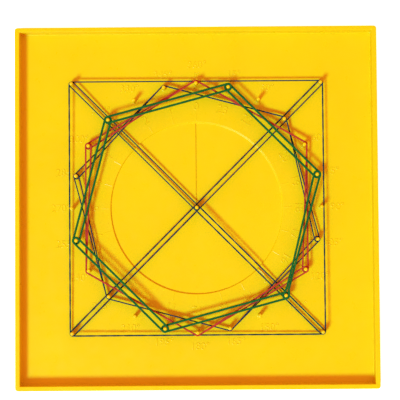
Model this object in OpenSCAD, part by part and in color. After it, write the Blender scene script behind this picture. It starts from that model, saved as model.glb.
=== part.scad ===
// Circular geoboard: a square plastic tray with a ring of 24 pegs, four corner
// pegs and a centre peg, set out with fifteen stretched rubber bands.
// Millimetres. Origin at the middle of the underside, Z up, Y towards the zero peg.

/* [Tray] */
// Outside width of the square tray
board = 251.4; // [180:0.1:320]
// Thickness of the raised rim, seen from above
rim_wall = 3.3; // [2:0.1:6]
// Height of the rim above the table
rim_top = 14.1; // [10:0.1:25]
// Radius of the outside corners of the rim
corner_r = 2; // [0.5:0.1:8]
// Height of the upper face of the floor
floor_top = 4.5; // [3:0.1:8]
// Thickness of the floor
floor_t = 2.5; // [1.5:0.1:4]
// Radius of the round recess in the middle of the floor
recess_r = 60; // [40:0.1:70]
// Depth of the round recess
recess_d = 1.3; // [0.5:0.1:2]
// How far the underside of the recess reaches past its edge
recess_wall = 2; // [1:0.1:5]
// Width of the stiffening ribs under the floor
rib_w = 1.6; // [1:0.1:3]

/* [Angle marks] */
// Distance from the centre to the inner end of each raised tick
tick_r = 61.1; // [50:0.1:75]
// Length of each raised tick
tick_len = 5.2; // [2:0.1:10]
// Width of each raised tick
tick_w = 0.8; // [0.4:0.1:2]
// Height of each raised tick
tick_h = 0.35; // [0.1:0.05:1]
// Width of the zero line cut into the recess floor
line_w = 0.9; // [0.4:0.1:2]
// Depth of the zero line
line_d = 0.8; // [0.1:0.05:0.8]
// Distance from the centre to the inner end of the zero line
line_start = 2.5; // [1:0.1:10]

/* [Pegs] */
// Number of pegs on the circle
peg_count = 24; // [12:1:36]
// Radius of the peg circle, also the half width of the corner peg square
ring_r = 86.5; // [60:0.1:100]
// Radius of a peg
peg_r = 1.3; // [0.8:0.05:3]
// Height of the pegs above the floor
peg_h = 10; // [6:0.1:15]
// Rounding of a peg's top edge
peg_round = 0.4; // [0.1:0.05:0.5]
// Radius of the shallow dimple in a peg's top
dimple_r = 0.45; // [0.1:0.05:0.5]
// Depth of the dimple
dimple_d = 0.25; // [0.05:0.05:0.5]

/* [Bands] */
// Gap between a peg and the band round it
gap = 0.05; // [0.02:0.01:0.2]
// Width of a blue strand
blue_w = 0.75; // [0.5:0.05:2]
// Height of a blue strand
blue_t = 0.9; // [0.4:0.05:2]
// Width of a red strand
red_w = 1.1; // [0.5:0.05:2]
// Height of a red strand
red_t = 0.8; // [0.4:0.05:2]
// Width of a green strand
green_w = 1.5; // [0.6:0.05:2]
// Height of a green strand
green_t = 1.1; // [0.5:0.05:2]
// Distance from the 135 degree peg at which the band from the 75 degree peg draws together
pinch_end = 22; // [10:1:40]

/* [Band heights above the floor] */
// North-west diagonal, at the four distances in diagonal_at
diagonal_nw_z = [1.4, 2.1, 2.2, 3.6]; // [0.4:0.1:9]
// North-east diagonal
diagonal_ne_z = [2.4, 2.2, 2.0, 2.1]; // [0.4:0.1:9]
// South-west diagonal
diagonal_sw_z = [3.4, 2.6, 2.1, 1.9]; // [0.4:0.1:9]
// South-east diagonal
diagonal_se_z = [5.0, 3.2, 2.1, 1.9]; // [0.4:0.1:9]
// How much higher its south-west strand leaves the centre peg
diagonal_se_lift = 2.6; // [0:0.1:4]
// Upper and lower blue band at the 285 and 105 degree pegs
blue_z = [3.15, 4.15]; // [0.5:0.05:9]
// Middle of a blue band's two strands, one above the other, at the pegs between
blue_pass_z = 3.75; // [0.5:0.05:9]
// Square band where it reaches the SE, NE, NW and SW corner pegs
square_in_z = [2.9, 5.4, 4.6, 2.9]; // [0.5:0.05:9]
// Square band where it leaves the same pegs
square_out_z = [6.9, 4.0, 5.9, 4.9]; // [0.5:0.05:9]
// Upper and lower red band at the 300 and 120 degree pegs
red_z = [5.75, 6.65]; // [0.5:0.05:9]
// Middle of a red band's two strands, one above the other, at the pegs between
red_pass_z = 5.95; // [0.5:0.05:9]
// Green bands, first the under triangle and then the upper one
green_z = [7.7, 8.9]; // [0.5:0.05:9.4]

/* [Hidden] */
$fn = 96;

yellow = "#f6cc0a";
blue = "#24508f";
red = "#c8323a";
green = "#23753c";
step_a = 360 / peg_count;
inner = board - 2 * rim_wall;
under_recess = floor_top - recess_d - floor_t;
// Overlap between features that join
sink = 0.5;
// Distances from the centre at which the heights of a diagonal are given
diagonal_at = [3, 62, 86, 119];
// Where the pinched band's strands lie together before its peg
pinch_start = 5;
pinch_r = 3;

// Position on the peg circle, angles clockwise from the zero peg.
function ring(a) = [ring_r * sin(a), ring_r * cos(a)];

// ---------- tray ----------

module plate(w, r, h) {
  linear_extrude(height = h) {
    square([w - 2 * r, w], center = true);
    square([w, w - 2 * r], center = true);
    for (x = [-1, 1], y = [-1, 1])
      translate([x * (w / 2 - r), y * (w / 2 - r)]) circle(r = r);
  }
}

// Rib under the floor, from the recess out to the distance "end".
module rib(end) {
  translate([recess_r, -rib_w / 2, under_recess])
    cube([end - recess_r, rib_w, recess_d + sink]);
}

module tray() color(yellow) {
  difference() {
    union() {
      difference() {
        plate(board, corner_r, rim_top);
        // space above the floor
        translate([-inner / 2, -inner / 2, floor_top]) cube([inner, inner, rim_top]);
        // space under the floor
        translate([-inner / 2, -inner / 2, -1])
          cube([inner, inner, 1 + floor_top - floor_t]);
      }
      // the floor steps down under the recess
      translate([0, 0, under_recess]) cylinder(r = recess_r + recess_wall, h = floor_t);
      // stiffening ribs from the recess to the rim
      for (a = [0 : 90 : 270]) rotate([0, 0, a]) rib(inner / 2 + sink);
      for (a = [45 : 90 : 315]) rotate([0, 0, a]) rib(inner / sqrt(2) - rib_w / 2);
      // raised ticks, one for every peg
      for (i = [0 : peg_count - 1]) rotate([0, 0, -i * step_a])
        translate([-tick_w / 2, tick_r, floor_top - sink])
          cube([tick_w, tick_len, tick_h + sink]);
    }
    // round recess
    translate([0, 0, floor_top - recess_d]) cylinder(r = recess_r, h = rim_top);
    // zero line
    translate([-line_w / 2, line_start, floor_top - recess_d - line_d])
      cube([line_w, recess_r - line_start - sink, rim_top]);
  }
}

// ---------- pegs ----------

module peg(h) {
  top = h - peg_round;
  rotate_extrude()
    polygon(concat([[0, h - dimple_d], [0, 0], [peg_r, 0]],
      [for (a = [0 : 30 : 90]) [peg_r - peg_round * (1 - cos(a)), top + peg_round * sin(a)]],
      [[dimple_r, h]]));
}

module circle_pegs() color(yellow)
  for (i = [0 : peg_count - 1])
    translate([ring(i * step_a)[0], ring(i * step_a)[1], floor_top]) peg(peg_h);

module corner_pegs() color(yellow)
  for (x = [-1, 1], y = [-1, 1])
    translate([x * ring_r, y * ring_r, floor_top]) peg(peg_h);

module centre_peg() color(yellow)
  translate([0, 0, floor_top - recess_d]) peg(peg_h + recess_d);

// ---------- bands ----------
// A band is a closed belt laid round stops. Each stop is [x, y, r, z_in, z_out]. Its
// radius r is positive where the belt turns left round it and negative where it turns
// right. The belt reaches it z_in above the floor and leaves it at z_out.

function stop(p, r, z_in, z_out) = [p[0], p[1], r, z_in, z_out];
function wrap(a) = let(m = a - 360 * floor(a / 360)) m > 359.5 ? 0 : m;
function heading(a, b) = let(dx = b[0] - a[0], dy = b[1] - a[1])
  atan2(dy, dx) - asin((b[2] - a[2]) / norm([dx, dy]));
function touch(s, th, z) = [s[0] + sin(th) * s[2], s[1] - cos(th) * s[2], th, z];

// Points [x, y, heading, height] round the stops, straights cut into "cuts" pieces.
function belt(stops, cuts) = let(n = len(stops)) [
  for (i = [0 : n - 1])
    let(p = stops[(i + n - 1) % n], s = stops[i], q = stops[(i + 1) % n],
        t0 = heading(p, s), t1 = heading(s, q),
        turn = s[2] > 0 ? wrap(t1 - t0) : -wrap(t0 - t1),
        m = max(1, ceil(abs(turn) / 15)),
        a = touch(s, t1, s[4]), b = touch(q, t1, q[3]))
    each concat(
      [for (k = [0 : m]) touch(s, t0 + turn * k / m, s[3] + (s[4] - s[3]) * k / m)],
      [for (k = [1 : 1 : cuts - 1]) a + (b - a) * k / cuts])
];

// Solid strand of width w and height t along a belt.
module strand(path, w, t) {
  n = len(path);
  pts = [for (p = path)
    let(z = floor_top + p[3], nx = -sin(p[2]), ny = cos(p[2]))
    each [[p[0] - nx * w / 2, p[1] - ny * w / 2, z - t / 2],
          [p[0] + nx * w / 2, p[1] + ny * w / 2, z - t / 2],
          [p[0] + nx * w / 2, p[1] + ny * w / 2, z + t / 2],
          [p[0] - nx * w / 2, p[1] - ny * w / 2, z + t / 2]]];
  tris = [for (i = [0 : n - 1], k = [0 : 3])
    let(j = (i + 1) % n, l = (k + 1) % 4)
    each [[4 * i + k, 4 * j + k, 4 * j + l], [4 * i + k, 4 * j + l, 4 * i + l]]];
  polyhedron(points = pts, faces = tris, convexity = 10);
}

// Band hooked over the peg at a and the fourth peg on from it in steps of d. Its two
// strands pass outside the two pegs between, one above the other.
module bent_band(a, d, w, t, z, pass_z) {
  r = peg_r + gap + w / 2;
  side = d > 0 ? -1 : 1;
  // the strands are just clear of each other where one first comes over the other
  rise = (t + gap) / (1 - w / (2 * r));
  low = pass_z - rise / 2;
  high = pass_z + rise / 2;
  stops = [stop(ring(a), side * r, z, z),
    for (k = [1, 2]) stop(ring(a + k * d), side * r, low, low),
    stop(ring(a + 3 * d), side * r, z, z),
    for (k = [2, 1]) stop(ring(a + k * d), -side * r, high, high)];
  strand(belt(stops, 1), w, t);
}

module side_band(a, b, z) {
  r = peg_r + gap + green_w / 2;
  color(green) strand(belt([for (p = [ring(a), ring(b)]) stop(p, -r, z, z)], 1),
    green_w, green_t);
}

// Side band whose strands lie together just before the peg at b.
module pinched_band(a, b, z) {
  r = peg_r + gap + green_w / 2;
  p = ring(a);
  q = ring(b);
  along = (q - p) / norm(q - p);
  across = [along[1], -along[0]];
  reach = green_w / 2 + gap + pinch_r;
  near = q - along * pinch_start;
  far = q - along * pinch_end;
  stops = [stop(p, -r, z, z),
    for (c = [far, near]) stop(c - across * reach, pinch_r, z, z),
    stop(q, -r, z, z),
    for (c = [near, far]) stop(c + across * reach, pinch_r, z, z)];
  color(green) strand(belt(stops, 1), green_w, green_t);
}

// Band from the centre peg to the corner peg on the side x, y. Its strand on the
// clockwise side leaves the centre peg higher by "lift".
module diagonal_band(x, y, heights, lift = 0) {
  r = peg_r + gap + blue_w / 2;
  zs = [for (i = [0 : len(heights) - 1]) [diagonal_at[i], heights[i]]];
  level = belt([for (p = [[0, 0], [x, y]]) stop(p * ring_r, r, 0, 0)], 16);
  path = [for (p = level)
    let(away = norm([p[0], p[1]]), side = (y * p[0] - x * p[1]) / norm([x, y]) / r)
    [p[0], p[1], p[2],
      lookup(away, zs) + lift * (1 + side) / 2 * max(0, 1 - away / diagonal_at[1])]];
  color(blue) strand(path, blue_w, blue_t);
}

module diagonal_band_nw() diagonal_band(-1, 1, diagonal_nw_z);
module diagonal_band_ne() diagonal_band(1, 1, diagonal_ne_z);
module diagonal_band_sw() diagonal_band(-1, -1, diagonal_sw_z);
module diagonal_band_se()
  diagonal_band(1, -1, diagonal_se_z, diagonal_se_lift);

module blue_band_upper()
  color(blue) bent_band(285, 60, blue_w, blue_t, blue_z[0], blue_pass_z);
module blue_band_lower()
  color(blue) bent_band(285, -60, blue_w, blue_t, blue_z[1], blue_pass_z);

module square_band() {
  r = peg_r + gap + blue_w / 2;
  corners = [[1, -1], [1, 1], [-1, 1], [-1, -1]];
  stops = [for (i = [0 : 3]) stop(corners[i] * ring_r, r, square_in_z[i], square_out_z[i])];
  color(blue) strand(belt(stops, 1), blue_w, blue_t);
}

module red_band_upper()
  color(red) bent_band(300, 60, red_w, red_t, red_z[0], red_pass_z);
module red_band_lower()
  color(red) bent_band(300, -60, red_w, red_t, red_z[1], red_pass_z);

module green_band_015_075() side_band(15, 75, green_z[0]);
module green_band_135_195() side_band(135, 195, green_z[0]);
module green_band_255_315() side_band(255, 315, green_z[0]);
module green_band_075_135() pinched_band(75, 135, green_z[1]);
module green_band_195_255() side_band(195, 255, green_z[1]);
module green_band_315_015() side_band(315, 375, green_z[1]);

tray();
circle_pegs();
corner_pegs();
centre_peg();
diagonal_band_nw();
diagonal_band_ne();
diagonal_band_sw();
diagonal_band_se();
blue_band_upper();
blue_band_lower();
square_band();
red_band_upper();
red_band_lower();
green_band_015_075();
green_band_135_195();
green_band_255_315();
green_band_075_135();
green_band_195_255();
green_band_315_015();
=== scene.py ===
"""Looks of the circular geoboard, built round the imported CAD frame. Metres, Z up."""
from math import asin, atan2, ceil, cos, hypot, radians, sin, tau

import bmesh
import bpy
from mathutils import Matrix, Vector, noise
from mathutils.geometry import delaunay_2d_cdt


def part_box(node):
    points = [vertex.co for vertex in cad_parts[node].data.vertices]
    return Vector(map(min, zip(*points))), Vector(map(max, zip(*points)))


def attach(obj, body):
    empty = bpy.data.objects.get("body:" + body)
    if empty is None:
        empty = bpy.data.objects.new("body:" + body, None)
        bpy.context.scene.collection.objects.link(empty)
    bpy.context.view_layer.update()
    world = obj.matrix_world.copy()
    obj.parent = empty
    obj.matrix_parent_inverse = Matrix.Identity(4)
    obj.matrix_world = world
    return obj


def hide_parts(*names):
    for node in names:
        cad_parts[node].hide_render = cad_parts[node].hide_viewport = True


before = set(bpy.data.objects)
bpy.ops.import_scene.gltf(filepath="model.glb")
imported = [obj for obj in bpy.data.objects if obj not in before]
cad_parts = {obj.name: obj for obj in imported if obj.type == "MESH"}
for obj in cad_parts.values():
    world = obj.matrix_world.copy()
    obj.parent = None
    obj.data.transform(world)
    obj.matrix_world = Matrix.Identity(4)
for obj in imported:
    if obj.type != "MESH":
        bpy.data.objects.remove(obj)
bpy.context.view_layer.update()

MM = 0.001

# ---------- sizes, taken from the frame where it has them ----------

TRAY_LO, TRAY_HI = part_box("tray")
BOARD = TRAY_HI.x - TRAY_LO.x
RIM_TOP = TRAY_HI.z
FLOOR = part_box("circle_pegs")[0].z
PEG_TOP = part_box("circle_pegs")[1].z
RECESS_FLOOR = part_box("centre_peg")[0].z
PEG_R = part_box("centre_peg")[1].x
RING_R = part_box("corner_pegs")[1].x - PEG_R
PEG_COUNT = 24
STEP = 360 / PEG_COUNT

RIM_WALL = 3.3 * MM
CORNER_R = 2.0 * MM
INNER_CORNER_R = 0.4 * MM
RIM_ROUND = 0.45 * MM
FLOOR_T = 2.5 * MM
RECESS_R = 60 * MM
RECESS_WALL = 2 * MM
RECESS_EDGE, RECESS_FILLET = 0.5 * MM, 0.6 * MM
ROUND_POINTS = 192
TICK_R, TICK_LEN, TICK_W, TICK_H = 61.1 * MM, 5.2 * MM, 0.8 * MM, 0.14 * MM
# a tick's rounded section, as (how far it is drawn in, share of its height)
TICK_LEVELS = ((0, 0), (0.12 * MM, 0.4), (0.24 * MM, 0.78), (0.34 * MM, 1))
LINE_W, LINE_D, LINE_START, LINE_END = 0.9 * MM, 0.8 * MM, 2.5 * MM, 59.2 * MM
LINE_DRAFT = 0.12 * MM
# how far the ribs run into the rim, and how far their feet lie above the boss's
RIB_W, RIB_SINK, RIB_LIFT = 1.6 * MM, 0.5 * MM, 0.02 * MM

# Band sections, the blue one a little fuller than in the CAD model, and the heights of
# the strands' middles above the floor, as in the CAD model.
GAP = 0.05 * MM
BLUE = {"w": 0.8 * MM, "t": 0.96 * MM}
RED = {"w": 1.1 * MM, "t": 0.8 * MM}
GREEN = {"w": 1.5 * MM, "t": 1.1 * MM}
DIAGONAL_AT = [3 * MM, 62 * MM, 86 * MM, 119 * MM]
DIAGONAL_Z = {
    "nw": [1.4 * MM, 2.1 * MM, 2.2 * MM, 3.6 * MM],
    "ne": [2.4 * MM, 2.2 * MM, 2.0 * MM, 2.1 * MM],
    "sw": [3.4 * MM, 2.6 * MM, 2.1 * MM, 1.9 * MM],
    "se": [5.0 * MM, 3.2 * MM, 2.1 * MM, 1.9 * MM],
}
# how much higher the clockwise of a diagonal's two strands leaves the centre peg
DIAGONAL_LIFT = {"se": 2.6 * MM}
BLUE_Z = {"upper": 3.15 * MM, "lower": 4.15 * MM}
BLUE_PASS_Z = 3.75 * MM
SQUARE_IN_Z = [2.9 * MM, 5.4 * MM, 4.6 * MM, 2.9 * MM]
SQUARE_OUT_Z = [6.9 * MM, 4.0 * MM, 5.9 * MM, 4.9 * MM]
RED_Z = {"upper": 5.75 * MM, "lower": 6.65 * MM}
RED_PASS_Z = 5.95 * MM
GREEN_Z = [7.7 * MM, 8.9 * MM]
PINCH_START, PINCH_END, PINCH_R = 5 * MM, 22 * MM, 3 * MM


# ---------- materials ----------

def new_material(name, colour, roughness, specular):
    """A Principled material; returns it with its nodes, links and shader."""
    material = bpy.data.materials.new(name)
    material.use_nodes = True
    tree = material.node_tree
    shader = tree.nodes["Principled BSDF"]
    shader.inputs["Base Color"].default_value = (*colour, 1)
    shader.inputs["Roughness"].default_value = roughness
    shader.inputs["Specular IOR Level"].default_value = specular
    return material, tree, shader


def add_noise(tree, source, scale, detail):
    node = tree.nodes.new("ShaderNodeTexNoise")
    node.inputs["Scale"].default_value = scale
    node.inputs["Detail"].default_value = detail
    tree.links.new(source, node.inputs["Vector"])
    return node.outputs["Fac"]


def add_ramp(tree, source, low, high):
    """Spreads the middle of a noise's range over the range low to high."""
    node = tree.nodes.new("ShaderNodeMapRange")
    node.inputs["From Min"].default_value = 0.3
    node.inputs["From Max"].default_value = 0.7
    node.inputs["To Min"].default_value = low
    node.inputs["To Max"].default_value = high
    tree.links.new(source, node.inputs["Value"])
    return node.outputs["Result"]


def add_colour_mix(tree, source, first, second):
    node = tree.nodes.new("ShaderNodeMix")
    node.data_type = "RGBA"
    node.inputs["A"].default_value = (*first, 1)
    node.inputs["B"].default_value = (*second, 1)
    tree.links.new(source, node.inputs["Factor"])
    return node.outputs["Result"]


def add_bump(tree, source, height, normal=None):
    node = tree.nodes.new("ShaderNodeBump")
    node.inputs["Strength"].default_value = 1
    node.inputs["Distance"].default_value = height
    tree.links.new(source, node.inputs["Height"])
    if normal is not None:
        tree.links.new(normal, node.inputs["Normal"])
    return node.outputs["Normal"]


def yellow_plastic():
    """Glossy moulded polystyrene: faint flow marks, a fine satin grain and shallow sink waves."""
    deep, light = (0.91, 0.575, 0.0008), (0.94, 0.605, 0.0012)
    material, tree, shader = new_material("moulded_yellow", light, 0.3, 0.35)
    place = tree.nodes.new("ShaderNodeTexCoord").outputs["Object"]
    flow = add_noise(tree, place, 26, 3)
    colour = add_colour_mix(tree, add_ramp(tree, flow, 0, 1), deep, light)
    tree.links.new(colour, shader.inputs["Base Color"])
    gloss = add_ramp(tree, add_noise(tree, place, 140, 2), 0.27, 0.35)
    tree.links.new(gloss, shader.inputs["Roughness"])
    waves = add_bump(tree, add_noise(tree, place, 45, 1), 0.06 * MM)
    grain = add_bump(tree, add_noise(tree, place, 1500, 2), 0.008 * MM, waves)
    tree.links.new(grain, shader.inputs["Normal"])
    return material


def rubber(name, deep, light):
    """Cut latex: fine lengthwise striations and dusty, duller patches."""
    material, tree, shader = new_material(name, light, 0.6, 0.2)
    uv = tree.nodes.new("ShaderNodeTexCoord").outputs["UV"]
    stretch = tree.nodes.new("ShaderNodeMapping")
    stretch.inputs["Scale"].default_value = (40, 2600, 1)
    tree.links.new(uv, stretch.inputs["Vector"])
    lines = add_noise(tree, stretch.outputs["Vector"], 1, 3)
    dust = add_noise(tree, uv, 260, 4)
    colour = add_colour_mix(tree, add_ramp(tree, dust, 0, 1), deep, light)
    tree.links.new(colour, shader.inputs["Base Color"])
    tree.links.new(add_ramp(tree, dust, 0.7, 0.5), shader.inputs["Roughness"])
    tree.links.new(add_bump(tree, lines, 0.05 * MM), shader.inputs["Normal"])
    return material


MATERIALS = {
    "yellow_plastic": yellow_plastic(),
    "blue_rubber": rubber("cut_latex_blue", (0.004, 0.026, 0.055), (0.008, 0.045, 0.095)),
    "red_rubber": rubber("cut_latex_red", (0.42, 0.022, 0.016), (0.60, 0.04, 0.03)),
    "green_rubber": rubber("cut_latex_green", (0.003, 0.092, 0.016), (0.006, 0.138, 0.026)),
}


# ---------- making meshes ----------

def add_piece(name, bm, slot, body, replaced=None, flat_above=35):
    """Turns a bmesh into a piece that rides on a CAD body."""
    bmesh.ops.recalc_face_normals(bm, faces=bm.faces)
    mesh = bpy.data.meshes.new(name)
    bm.to_mesh(mesh)
    bm.free()
    for polygon in mesh.polygons:
        polygon.use_smooth = True
    mesh.set_sharp_from_angle(angle=radians(flat_above))
    mesh.materials.append(MATERIALS[slot])
    piece = bpy.data.objects.new(name, mesh)
    bpy.context.scene.collection.objects.link(piece)
    normals = piece.modifiers.new("weighted_normals", "WEIGHTED_NORMAL")
    normals.keep_sharp = True
    normals.weight = 100
    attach(piece, body)
    if replaced:
        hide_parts(replaced)
    return piece


def add_loop(bm, points, z):
    return [bm.verts.new((x, y, z)) for x, y in points]


def bridge(bm, lower, upper):
    """Quads between two closed loops of equal length."""
    count = len(lower)
    for i in range(count):
        j = (i + 1) % count
        bm.faces.new((lower[i], lower[j], upper[j], upper[i]))


def circle(radius, count, x=0, y=0):
    angles = [tau * i / count for i in range(count)]
    return [(x + radius * cos(a), y + radius * sin(a)) for a in angles]


def rounded_square(half, radius, count=6):
    """Outline of a square with round corners, the same number of points at any radius."""
    centre = half - radius
    points = []
    for quarter in range(4):
        middle = radians(45 + 90 * quarter)
        cx = centre * round(cos(middle) * 2 ** 0.5)
        cy = centre * round(sin(middle) * 2 ** 0.5)
        for k in range(count + 1):
            a = radians(90 * quarter + 90 * k / count)
            points.append((cx + radius * cos(a), cy + radius * sin(a)))
    return points


def rectangle(width, start, end, clockwise_angle, grow=0.0):
    """A bar from start to end along a direction from the centre."""
    a = radians(clockwise_angle)
    along, across = Vector((sin(a), cos(a))), Vector((cos(a), -sin(a)))
    side = width / 2 + grow
    ends = (start - grow, end + grow)
    corners = ((ends[0], -side), (ends[1], -side), (ends[1], side), (ends[0], side))
    return [tuple(along * r + across * s) for r, s in corners]


def fill_flat(bm, outer, holes, keep_out):
    """Triangles inside the outer loop and outside the holes, on the loops' own vertices."""
    verts = outer + [v for hole in holes for v in hole]
    edges = []
    start = 0
    for loop in [outer, *holes]:
        count = len(loop)
        edges += [(start + i, start + (i + 1) % count) for i in range(count)]
        start += count
    found = delaunay_2d_cdt([v.co.xy for v in verts], edges, [], 1, 1e-9)
    spots, triangles, sources = found[0], found[2], found[3]
    for triangle in triangles:
        middle = sum((spots[i] for i in triangle), Vector((0, 0))) / 3
        if not keep_out(middle):
            bm.faces.new([verts[sources[i][0]] for i in triangle])


def arc_profile(centre, radius, start, end, count=5):
    """Points of a quarter-round edge, angles in degrees."""
    angles = [radians(start + (end - start) * k / count) for k in range(count + 1)]
    return [(centre[0] + radius * cos(a), centre[1] + radius * sin(a)) for a in angles]


# ---------- tray ----------

def rim_profile():
    """(inset, height) from under the floor, round the rim, to the top of the floor."""
    foot = 0.25 * MM
    fillet = 0.5 * MM
    under = FLOOR - FLOOR_T
    top = RIM_TOP - RIM_ROUND
    return [
        (RIM_WALL, under), (RIM_WALL, foot), (RIM_WALL - foot, 0),
        *arc_profile((foot, foot), foot, 270, 180, 3),
        *arc_profile((RIM_ROUND, top), RIM_ROUND, 180, 90),
        *arc_profile((RIM_WALL - RIM_ROUND, top), RIM_ROUND, 90, 0),
        *arc_profile((RIM_WALL + fillet, FLOOR + fillet), fillet, 180, 270),
    ]


def in_tick(point):
    for i in range(PEG_COUNT):
        a = radians(i * STEP)
        along = point.x * sin(a) + point.y * cos(a)
        across = point.x * cos(a) - point.y * sin(a)
        if abs(across) < TICK_W / 2 and TICK_R < along < TICK_R + TICK_LEN:
            return True
    return False


def add_rim(bm):
    """The rim's skin from under the floor to the top of it; returns its loops."""
    rim = [
        add_loop(bm, rounded_square(BOARD / 2 - inset, max(CORNER_R - inset, INNER_CORNER_R)), z)
        for inset, z in rim_profile()
    ]
    for lower, upper in zip(rim, rim[1:]):
        bridge(bm, lower, upper)
    return rim


def add_recess_wall(bm):
    """The recess's wall with its rounded edge above and its fillet below; returns its loops."""
    wall = [
        *arc_profile((RECESS_R + RECESS_EDGE, FLOOR - RECESS_EDGE), RECESS_EDGE, 90, 180),
        *arc_profile(
            (RECESS_R - RECESS_FILLET, RECESS_FLOOR + RECESS_FILLET), RECESS_FILLET, 0, -90
        ),
    ]
    loops = [add_loop(bm, circle(r, ROUND_POINTS), z) for r, z in wall]
    for upper, lower in zip(loops, loops[1:]):
        bridge(bm, upper, lower)
    return loops


def add_tick(bm, clockwise_angle):
    """One raised tick; returns the loop at its foot."""
    loops = [
        add_loop(
            bm, rectangle(TICK_W, TICK_R, TICK_R + TICK_LEN, clockwise_angle, -drawn_in),
            FLOOR + TICK_H * share,
        )
        for drawn_in, share in TICK_LEVELS
    ]
    for lower, upper in zip(loops, loops[1:]):
        bridge(bm, lower, upper)
    bm.faces.new(loops[-1])
    return loops[0]


def add_zero_line(bm):
    """The groove in the recess; returns the loop at its mouth."""
    mouth, bottom = [
        add_loop(bm, rectangle(LINE_W, LINE_START, LINE_END, 0, grow), RECESS_FLOOR - depth)
        for grow, depth in ((0, 0), (-LINE_DRAFT, LINE_D))
    ]
    bridge(bm, mouth, bottom)
    bm.faces.new(bottom)
    return mouth


def add_underside(bm, rim_foot):
    """The boss under the recess, the flat round it, and eight ribs out to the rim."""
    under = FLOOR - FLOOR_T
    boss_r = RECESS_R + RECESS_WALL
    boss_foot = under - (FLOOR - RECESS_FLOOR)
    bevel = 0.3 * MM
    boss = [
        add_loop(bm, circle(r, ROUND_POINTS), z)
        for r, z in ((boss_r, under), (boss_r, boss_foot + bevel), (boss_r - bevel, boss_foot))
    ]
    for upper, lower in zip(boss, boss[1:]):
        bridge(bm, upper, lower)
    bm.faces.new(boss[-1])
    fill_flat(bm, rim_foot, [boss[0]], lambda p: p.length < boss_r)

    reach = BOARD / 2 - RIM_WALL
    for i in range(8):
        # even ribs run to the middle of a side, odd ones to a corner
        end = reach + RIB_SINK if i % 2 == 0 else reach * 2 ** 0.5 - RIB_W / 2
        foot = rectangle(RIB_W - bevel, boss_r - bevel, end, 45 * i)
        bottom = add_loop(bm, foot, boss_foot + RIB_LIFT)
        top = add_loop(bm, rectangle(RIB_W, boss_r - bevel, end, 45 * i), under + bevel)
        bridge(bm, bottom, top)
        bm.faces.new(bottom)
        bm.faces.new(top)


def add_tray():
    bm = bmesh.new()
    rim = add_rim(bm)
    recess = add_recess_wall(bm)
    ticks = [add_tick(bm, i * STEP) for i in range(PEG_COUNT)]
    hole_r = RECESS_R + RECESS_EDGE
    fill_flat(bm, rim[-1], [recess[0], *ticks], lambda p: p.length < hole_r or in_tick(p))
    fill_flat(
        bm, recess[-1], [add_zero_line(bm)],
        lambda p: abs(p.x) < LINE_W / 2 and LINE_START < p.y < LINE_END,
    )
    add_underside(bm, rim[0])
    add_piece("tray_moulding", bm, "yellow_plastic", "board", "tray", 30)


# ---------- pegs ----------

PEG_POINTS = 28


def ring(clockwise_angle):
    a = radians(clockwise_angle)
    return RING_R * sin(a), RING_R * cos(a)


def peg_profile(height):
    """(radius, height above the floor) from inside the floor to the middle of the dimple."""
    root, fillet, tip, taper = 0.3 * MM, 0.45 * MM, 0.7 * MM, 0.06 * MM
    dimple = ((0.48 * MM, 0), (0.34 * MM, 0.05 * MM), (0.14 * MM, 0.09 * MM))
    top_r = PEG_R - taper
    return [
        (PEG_R + fillet, -root),
        *arc_profile((PEG_R + fillet, fillet), fillet, 270, 180),
        *arc_profile((top_r - tip, height - tip), tip, 0, 90),
        *[(r, height - depth) for r, depth in dimple],
    ]


def add_pegs(name, places, base, node):
    bm = bmesh.new()
    for x, y in places:
        loops = [
            add_loop(bm, circle(r, PEG_POINTS, x, y), base + z)
            for r, z in peg_profile(PEG_TOP - base)
        ]
        for lower, upper in zip(loops, loops[1:]):
            bridge(bm, lower, upper)
        bm.faces.new(loops[0])
        bm.faces.new(loops[-1])
    add_piece(name, bm, "yellow_plastic", "board", node, 50)


# ---------- raised numerals ----------

FONT_DIGIT_HEIGHT = 0.7
NUMERAL_RISE = 0.23 * MM
NUMERAL_BEVEL = 0.22 * MM
NUMERAL_THINNING = 0.13 * MM


def numeral_mesh(body, digit_height):
    """Raised figures with bevelled edges, centred on the origin."""
    curve = bpy.data.curves.new("numeral", "FONT")
    curve.body = body
    curve.size = digit_height / FONT_DIGIT_HEIGHT
    curve.align_x = "CENTER"
    curve.resolution_u = 3
    curve.extrude = NUMERAL_RISE
    curve.bevel_depth = NUMERAL_BEVEL
    curve.bevel_resolution = 3
    curve.offset = -NUMERAL_THINNING
    holder = bpy.data.objects.new("numeral", curve)
    bpy.context.scene.collection.objects.link(holder)
    bpy.context.view_layer.update()
    graph = bpy.context.evaluated_depsgraph_get()
    mesh = bpy.data.meshes.new_from_object(holder.evaluated_get(graph))
    bpy.data.objects.remove(holder)
    bpy.data.curves.remove(curve)
    return mesh


def add_numerals(name, entries):
    """entries are (text, digit height, x, y, turn in degrees)."""
    bm = bmesh.new()
    for body, height, x, y, turn in entries:
        mesh = numeral_mesh(body, height)
        a = radians(turn)
        top = max(v.co.z for v in mesh.vertices)
        for v in mesh.vertices:
            u, w = v.co.x, v.co.y - height / 2
            v.co = (
                x + u * cos(a) - w * sin(a),
                y + u * sin(a) + w * cos(a),
                FLOOR + NUMERAL_RISE + v.co.z - top,
            )
        bm.from_mesh(mesh)
        bpy.data.meshes.remove(mesh)
    bmesh.ops.remove_doubles(bm, verts=bm.verts, dist=0.001 * MM)
    add_piece(name, bm, "yellow_plastic", "board", None, 40)


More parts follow.
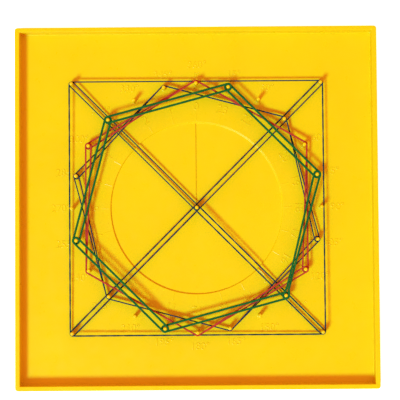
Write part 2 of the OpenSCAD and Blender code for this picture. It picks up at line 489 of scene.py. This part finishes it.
def degree_numerals():
    """Upright labels round the pegs, on a ring a little to the right of the board's middle."""
    radius, height = 96.6 * MM, 5.0 * MM
    shift_x, shift_y = 1.6 * MM, 0.4 * MM
    entries = [
        ("0°", 3.6 * MM, 0.4 * MM, 93.3 * MM, 0),
        (f"{PEG_COUNT * STEP:.0f}°", height, 0.6 * MM, 100.6 * MM, 0),
    ]
    for i in range(1, PEG_COUNT):
        a = radians(i * STEP)
        x, y = radius * sin(a) + shift_x, radius * cos(a) + shift_y
        entries.append((f"{i * STEP:.0f}°", height, x, y, 0))
    return entries


def peg_numerals():
    radius, height = 71.3 * MM, 5.6 * MM
    entries = []
    for i in range(PEG_COUNT):
        turn = i * STEP
        a = radians(turn)
        entries.append((str(i), height, -radius * sin(a), radius * cos(a), turn))
    return entries


# ---------- rubber bands ----------
# A band is a closed belt laid round stops (x, y, r, z in, z out). Its radius r is
# positive where the belt turns left round it. Heights are above the floor.

ARC_STEP = radians(9)
SPAN_STEP = 1.5 * MM
# at this length of a half turn the turned strands lie flat where they pass a peg
HALF_TURN = 17.3 * MM
SECTION_POINTS = 16
# power of the section's outline: 1 is an ellipse, towards 0 a sharp rectangle
SQUARENESS = 0.45
# how much and how often a strand's width varies along the belt
SWELL, SWELL_WAVES = 0.05, 9


def heading(a, b):
    """Direction of the straight run that leaves stop a for stop b."""
    dx, dy = b[0] - a[0], b[1] - a[1]
    return atan2(dy, dx) - asin((b[2] - a[2]) / hypot(dx, dy))


def touch(stop, direction):
    """Where a run in this direction touches a stop."""
    return stop[0] + sin(direction) * stop[2], stop[1] - cos(direction) * stop[2]


def belt(stops, twisted):
    """Centreline as (x, y, z, heading, twist), twisted by whole half turns on the spans named."""
    path = []
    for i, stop in enumerate(stops):
        before, after = stops[i - 1], stops[(i + 1) % len(stops)]
        arrive, leave = heading(before, stop), heading(stop, after)
        turn = (leave - arrive) % tau if stop[2] > 0 else -((arrive - leave) % tau)
        if abs(turn) > tau - 0.01:
            turn = 0
        arcs = max(1, ceil(abs(turn) / ARC_STEP))
        for k in range(arcs + 1):
            direction = arrive + turn * k / arcs
            z = stop[3] + (stop[4] - stop[3]) * k / arcs
            path.append((*touch(stop, direction), z, direction, 0))
        start = Vector((*touch(stop, leave), stop[4]))
        end = Vector((*touch(after, leave), after[3]))
        length = (end - start).length
        half_turns = round(length / HALF_TURN) * twisted.get(i, 0)
        spans = ceil(length / SPAN_STEP)
        for k in range(1, spans):
            twist = tau / 2 * half_turns * k / spans
            path.append((*start.lerp(end, k / spans), leave, twist))
    return path


def interpolate(table, at):
    """Height at a distance, from a table of (distance, height)."""
    if at <= table[0][0]:
        return table[0][1]
    for (r0, z0), (r1, z1) in zip(table, table[1:]):
        if at <= r1:
            return z0 + (z1 - z0) * (at - r0) / (r1 - r0)
    return table[-1][1]


def strand_section(w, t):
    """Rounded rectangle, as (across, up) offsets."""
    points = []
    for k in range(SECTION_POINTS):
        a = tau * (k + 0.5) / SECTION_POINTS
        c, s = cos(a), sin(a)
        points.append((
            w / 2 * (abs(c) ** SQUARENESS) * (1 if c > 0 else -1),
            t / 2 * (abs(s) ** SQUARENESS) * (1 if s > 0 else -1),
        ))
    return points


def add_band(node, path, size, slot, seed):
    lengths = [0.0]
    for a, b in zip(path, path[1:]):
        lengths.append(lengths[-1] + hypot(b[0] - a[0], b[1] - a[1]))
    whole = lengths[-1] + hypot(path[0][0] - path[-1][0], path[0][1] - path[-1][1])
    bm = bmesh.new()
    uv = bm.loops.layers.uv.new("along")
    rows = []
    for (x, y, z, direction, twist), s in zip(path, lengths):
        turn = tau * s / whole
        place = Vector((SWELL_WAVES * cos(turn), SWELL_WAVES * sin(turn), seed))
        swell = 1 + SWELL * noise.noise(place)
        nx, ny = -sin(direction), cos(direction)
        c, d = cos(twist), sin(twist)
        row = []
        for u, v in strand_section(**size):
            across, up = (u * c - v * d) * swell, (u * d + v * c) / swell
            row.append(bm.verts.new((x + nx * across, y + ny * across, FLOOR + z + up)))
        rows.append(row)
    count = SECTION_POINTS
    girth = 2 * (size["w"] + size["t"])
    stops = [*lengths, whole]
    for i, row in enumerate(rows):
        nxt = (i + 1) % len(rows)
        following = rows[nxt]
        # a span ends a whole number of half turns on, where the section is the same again
        half_over = path[nxt][4] == 0 and round(cos(path[i][4])) < 0
        shift = count // 2 if half_over else 0
        for k in range(count):
            m = (k + 1) % count
            ahead, ahead_next = following[(k + shift) % count], following[(m + shift) % count]
            face = bm.faces.new((row[k], ahead, ahead_next, row[m]))
            s0, s1 = stops[i], stops[i + 1]
            marks = ((s0, k), (s1, k), (s1, k + 1), (s0, k + 1))
            for loop, (along, j) in zip(face.loops, marks):
                loop[uv].uv = (along, girth * j / count)
    add_piece(f"{node}_rubber", bm, slot, node.replace("_band", ""), node, 60)


def wrap_radius(size):
    return PEG_R + GAP + size["w"] / 2


def side_stops(start, end, z):
    r = wrap_radius(GREEN)
    return [(*ring(start), -r, z, z), (*ring(end), -r, z, z)]


def pinched_stops(start, end, z):
    """A side band whose strands lie together just before its second peg."""
    first, last = side_stops(start, end, z)
    p, q = Vector(first[:2]), Vector(last[:2])
    along = (q - p).normalized()
    across = Vector((along.y, -along.x)) * (GREEN["w"] / 2 + GAP + PINCH_R)
    near, far = q - along * PINCH_START, q - along * PINCH_END
    out = [(*(c - across), PINCH_R, z, z) for c in (far, near)]
    back = [(*(c + across), PINCH_R, z, z) for c in (near, far)]
    return [first, *out, last, *back]


def bent_stops(start, step, size, z, pass_z):
    """Two strands that pass outside the two pegs between, one above the other."""
    r = wrap_radius(size)
    side = -1 if step > 0 else 1
    # a little more than a thickness apart, so that the strands clear each other
    rise = (size["t"] + GAP) / (1 - size["w"] / (2 * r))
    low, high = pass_z - rise / 2, pass_z + rise / 2
    out = [(*ring(start + k * step), side * r, low, low) for k in (1, 2)]
    back = [(*ring(start + k * step), -side * r, high, high) for k in (2, 1)]
    ends = [(*ring(start + k * step), side * r, z, z) for k in (0, 3)]
    return [ends[0], *out, ends[1], *back]


def corner_stops(places, z_in, z_out):
    r = wrap_radius(BLUE)
    return [(x * RING_R, y * RING_R, r, a, b) for (x, y), a, b in zip(places, z_in, z_out)]


def diagonal_path(name, corner, twists):
    """A band from the centre peg to a corner, at heights that depend on the distance out."""
    table = list(zip(DIAGONAL_AT, DIAGONAL_Z[name]))
    lift = DIAGONAL_LIFT.get(name, 0)
    flat = belt(corner_stops([(0, 0), corner], (0, 0), (0, 0)), dict(enumerate(twists)))
    path = []
    for x, y, z, *rest in flat:
        away = hypot(x, y)
        side = (corner[1] * x - corner[0] * y) / 2 ** 0.5 / wrap_radius(BLUE)
        fade = max(0, 1 - away / DIAGONAL_AT[1])
        path.append((x, y, interpolate(table, away) + lift * (1 + side) / 2 * fade, *rest))
    return path


def add_bands():
    corners = {"nw": (-1, 1), "ne": (1, 1), "sw": (-1, -1), "se": (1, -1)}
    twists = {"nw": (0, 0), "ne": (0, 1), "sw": (1, -1), "se": (1, 1)}
    for seed, (name, corner) in enumerate(corners.items()):
        path = diagonal_path(name, corner, twists[name])
        add_band(f"diagonal_band_{name}", path, BLUE, "blue_rubber", seed)
    places = [corners[name] for name in ("se", "ne", "nw", "sw")]
    square = belt(corner_stops(places, SQUARE_IN_Z, SQUARE_OUT_Z), {0: 1, 2: 1, 3: 1})
    add_band("square_band", square, BLUE, "blue_rubber", 4)
    for seed, (name, step) in enumerate({"upper": 60, "lower": -60}.items(), 5):
        blue = belt(bent_stops(285, step, BLUE, BLUE_Z[name], BLUE_PASS_Z), {})
        add_band(f"blue_band_{name}", blue, BLUE, "blue_rubber", seed)
        red = belt(bent_stops(300, step, RED, RED_Z[name], RED_PASS_Z), {})
        add_band(f"red_band_{name}", red, RED, "red_rubber", seed + 2)
    for k in range(6):
        start = 15 + 60 * k
        stops = pinched_stops if start == 75 else side_stops
        name = f"green_band_{start % 360:03d}_{(start + 60) % 360:03d}"
        green = belt(stops(start, start + 60, GREEN_Z[k % 2]), {})
        add_band(name, green, GREEN, "green_rubber", 9 + k)


# ---------- floor, lights and camera ----------

def add_floor():
    bm = bmesh.new()
    bmesh.ops.create_grid(bm, x_segments=1, y_segments=1, size=4)
    mesh = bpy.data.meshes.new("floor")
    bm.to_mesh(mesh)
    bm.free()
    material = bpy.data.materials.new("pale_floor")
    material.use_nodes = True
    shader = material.node_tree.nodes["Principled BSDF"]
    shader.inputs["Base Color"].default_value = (0.9, 0.9, 0.9, 1)
    shader.inputs["Roughness"].default_value = 0.9
    shader.inputs["Emission Color"].default_value = (1, 1, 1, 1)
    shader.inputs["Emission Strength"].default_value = 0.9
    mesh.materials.append(material)
    floor = bpy.data.objects.new("floor", mesh)
    bpy.context.scene.collection.objects.link(floor)


def add_area_light(name, direction, distance, size, power, colour):
    """A round softbox in the given direction from the board, turned towards it."""
    place = Vector(direction).normalized() * distance
    data = bpy.data.lights.new(name, "AREA")
    data.shape = "DISK"
    data.size = size
    data.energy = power
    data.color = colour
    light = bpy.data.objects.new(name, data)
    light.location = place
    light.rotation_euler = (-place).to_track_quat("-Z", "Y").to_euler()
    bpy.context.scene.collection.objects.link(light)


def add_world(colour, strength, reflected):
    """A warm fill from all round; the camera sees plain white, reflections a dim studio."""
    world = bpy.data.worlds.new("studio")
    world.use_nodes = True
    tree = world.node_tree
    fill = tree.nodes["Background"]
    fill.inputs["Color"].default_value = (*colour, 1)
    fill.inputs["Strength"].default_value = strength
    path = tree.nodes.new("ShaderNodeLightPath")
    seen = fill.outputs["Background"]
    for ray, shade in (("Is Glossy Ray", reflected), ("Is Camera Ray", (1, 1, 1))):
        other = tree.nodes.new("ShaderNodeBackground")
        other.inputs["Color"].default_value = (*shade, 1)
        mix = tree.nodes.new("ShaderNodeMixShader")
        tree.links.new(path.outputs[ray], mix.inputs["Fac"])
        tree.links.new(seen, mix.inputs[1])
        tree.links.new(other.outputs["Background"], mix.inputs[2])
        seen = mix.outputs["Shader"]
    tree.links.new(seen, tree.nodes["World Output"].inputs["Surface"])
    bpy.context.scene.world = world


def add_camera():
    data = bpy.data.cameras.new("camera")
    data.sensor_width = 36
    data.lens = 115.5
    camera = bpy.data.objects.new("camera", data)
    camera.location = (1.35 * MM, -31.0 * MM, 900 * MM)
    camera.rotation_euler = [radians(a) for a in (2.333, -0.045, -0.421)]
    bpy.context.scene.collection.objects.link(camera)
    bpy.context.scene.camera = camera


add_tray()
add_pegs("circle_pegs_moulding", [ring(i * STEP) for i in range(PEG_COUNT)], FLOOR, "circle_pegs")
add_pegs(
    "corner_pegs_moulding",
    [(x * RING_R, y * RING_R) for x in (-1, 1) for y in (-1, 1)], FLOOR, "corner_pegs",
)
add_pegs("centre_peg_moulding", [(0, 0)], RECESS_FLOOR, "centre_peg")
add_numerals("degree_numerals", degree_numerals())
add_numerals("peg_numerals", peg_numerals())
add_bands()

add_floor()
add_area_light(
    "key", direction=(-0.52, -0.66, 1.02), distance=6, size=1.45, power=351, colour=(0.35, 1, 1)
)
add_world(colour=(1, 0.44, 0.2), strength=0.94, reflected=(0.06, 0.05, 0.03))
add_camera()
bpy.context.scene.view_settings.view_transform = "Standard"
